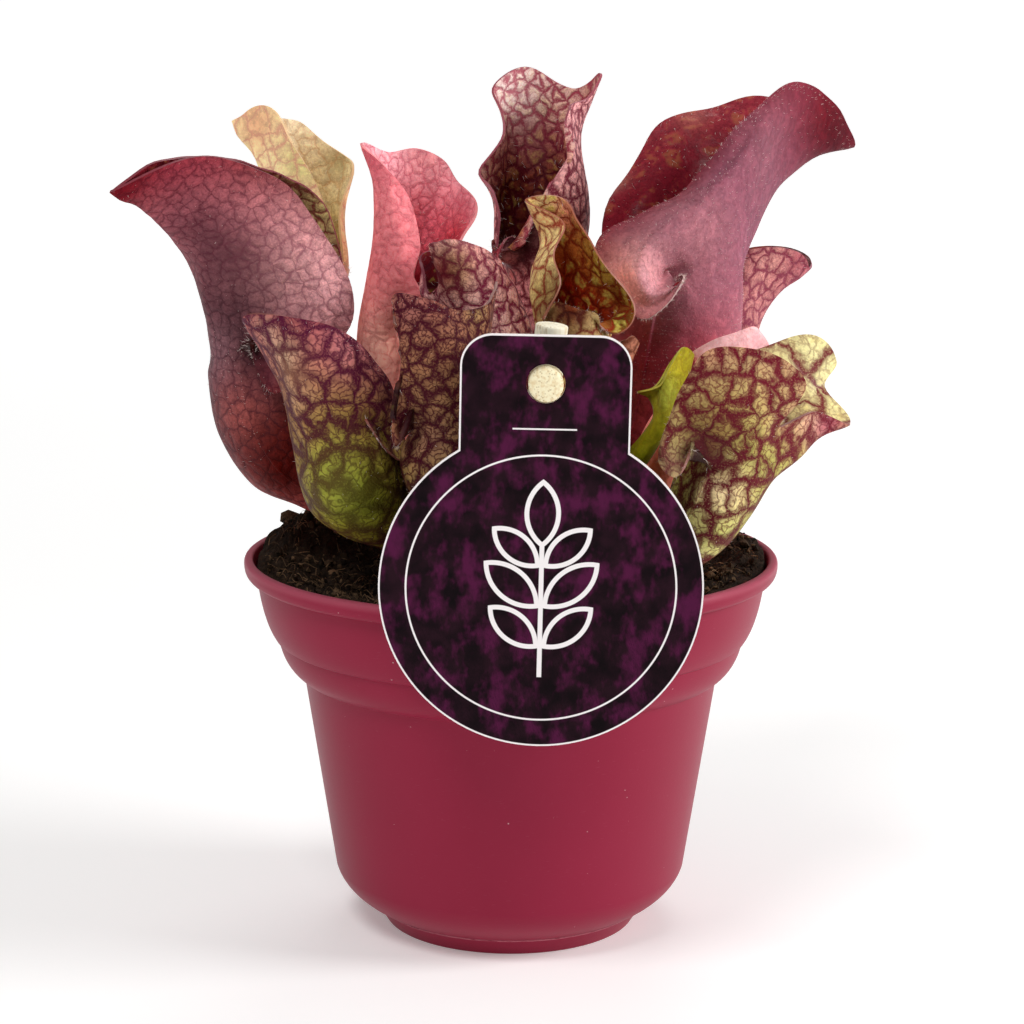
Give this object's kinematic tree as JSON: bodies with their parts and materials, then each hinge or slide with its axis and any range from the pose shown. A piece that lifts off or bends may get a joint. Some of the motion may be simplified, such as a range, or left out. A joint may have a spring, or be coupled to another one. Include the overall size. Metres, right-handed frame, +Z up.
{
  "type": "potted pitcher plant",
  "caption": "House plant: a rosette of hollow hooded pitcher leaves in peat in a round tapered plastic nursery pot, with a card tag on a wooden stick.",
  "frame": {"origin": "middle of the object's box at the height that the pot stands on, which is under the middle of the pot", "axes": "+Z up, -Y to the front, where the tag hangs"},
  "size_m": [0.1218, 0.0948, 0.1432],
  "materials": {
    "pot_plastic": "satin raspberry-rose polypropylene",
    "peat": "rough dark fibrous peat",
    "leaf_left_large": "dusky purple-rose leaf, satin",
    "leaf_front_left": "olive leaf with a purple net, satin",
    "leaf_front_middle": "dark maroon netted leaf, satin",
    "leaf_inner_dark": "dusky purple leaf, satin",
    "leaf_pink": "coral pink leaf, satin",
    "leaf_back_left": "pale yellow leaf, satin",
    "leaf_back_tall": "maroon leaf with yellow-green cells, glossy inside",
    "leaf_inner_small": "yellow-green leaf with a red net, satin",
    "leaf_right_large": "rose-purple leaf with fine white down",
    "leaf_back_right": "pink leaf with a purple net, satin",
    "leaf_right_pink": "salmon pink leaf, satin",
    "leaf_front_right": "yellow-green leaf with a thick maroon net, satin",
    "leaf_young": "bright yellow-green young leaf, satin",
    "leaf_withered": "brown-pink withered leaf, matt",
    "wood": "plain pale wood",
    "tag_card": "printed card with a white cut edge"
  },
  "bodies": {
    "root": {"pot": "pot_plastic", "soil": "peat", "leaf_left_large": "leaf_left_large", "leaf_front_left": "leaf_front_left", "leaf_front_middle": "leaf_front_middle", "leaf_inner_dark": "leaf_inner_dark", "leaf_pink": "leaf_pink", "leaf_back_left": "leaf_back_left", "leaf_back_tall": "leaf_back_tall", "leaf_inner_small": "leaf_inner_small", "leaf_right_large": "leaf_right_large", "leaf_back_right": "leaf_back_right", "leaf_right_pink": "leaf_right_pink", "leaf_front_right": "leaf_front_right", "leaf_young": "leaf_young", "leaf_withered": "leaf_withered", "stick": "wood", "peg": "wood", "tag": "tag_card"}
  },
  "joints": []
}
